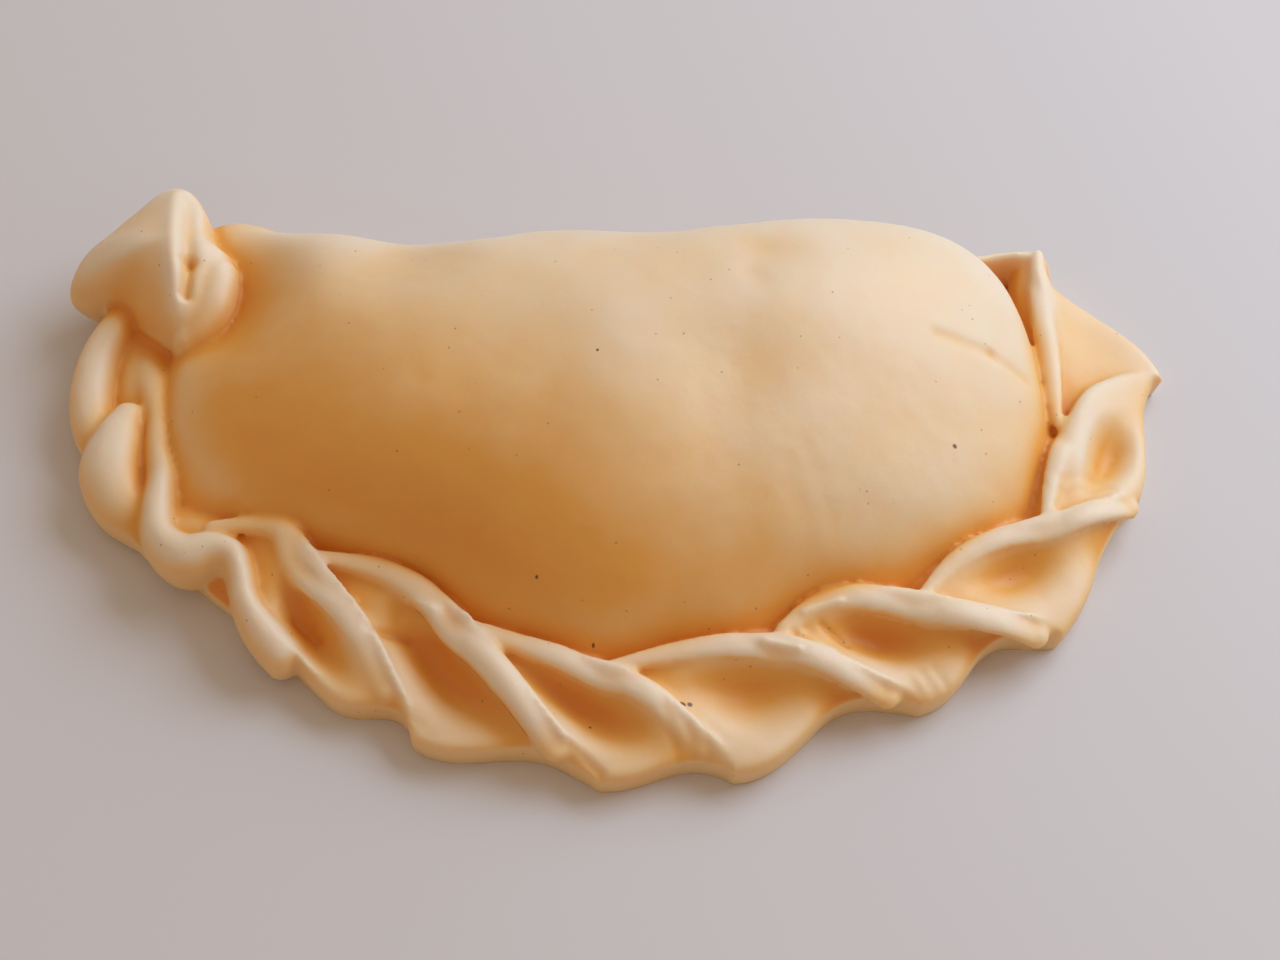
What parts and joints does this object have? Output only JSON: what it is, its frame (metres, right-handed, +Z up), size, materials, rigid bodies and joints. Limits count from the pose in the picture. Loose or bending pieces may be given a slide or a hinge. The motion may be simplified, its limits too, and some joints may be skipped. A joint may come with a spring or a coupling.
{
  "type": "half-moon cheese pastry",
  "caption": "Half-moon cheese pastry of pale raw dough, a filled pouch with a hand-crimped rope edge that ends in a tucked knot.",
  "frame": {"origin": "middle of the bounding box, at the height of the flat underside the pastry rests on", "axes": "+X along the straight folded side, from the knot to the flap; +Y from the crimped front to the straight back; +Z up"},
  "size_m": [0.1226, 0.073, 0.0232],
  "materials": {
    "dough": "soft matte raw dough"
  },
  "bodies": {
    "root": {"pastry": "dough"}
  },
  "joints": []
}
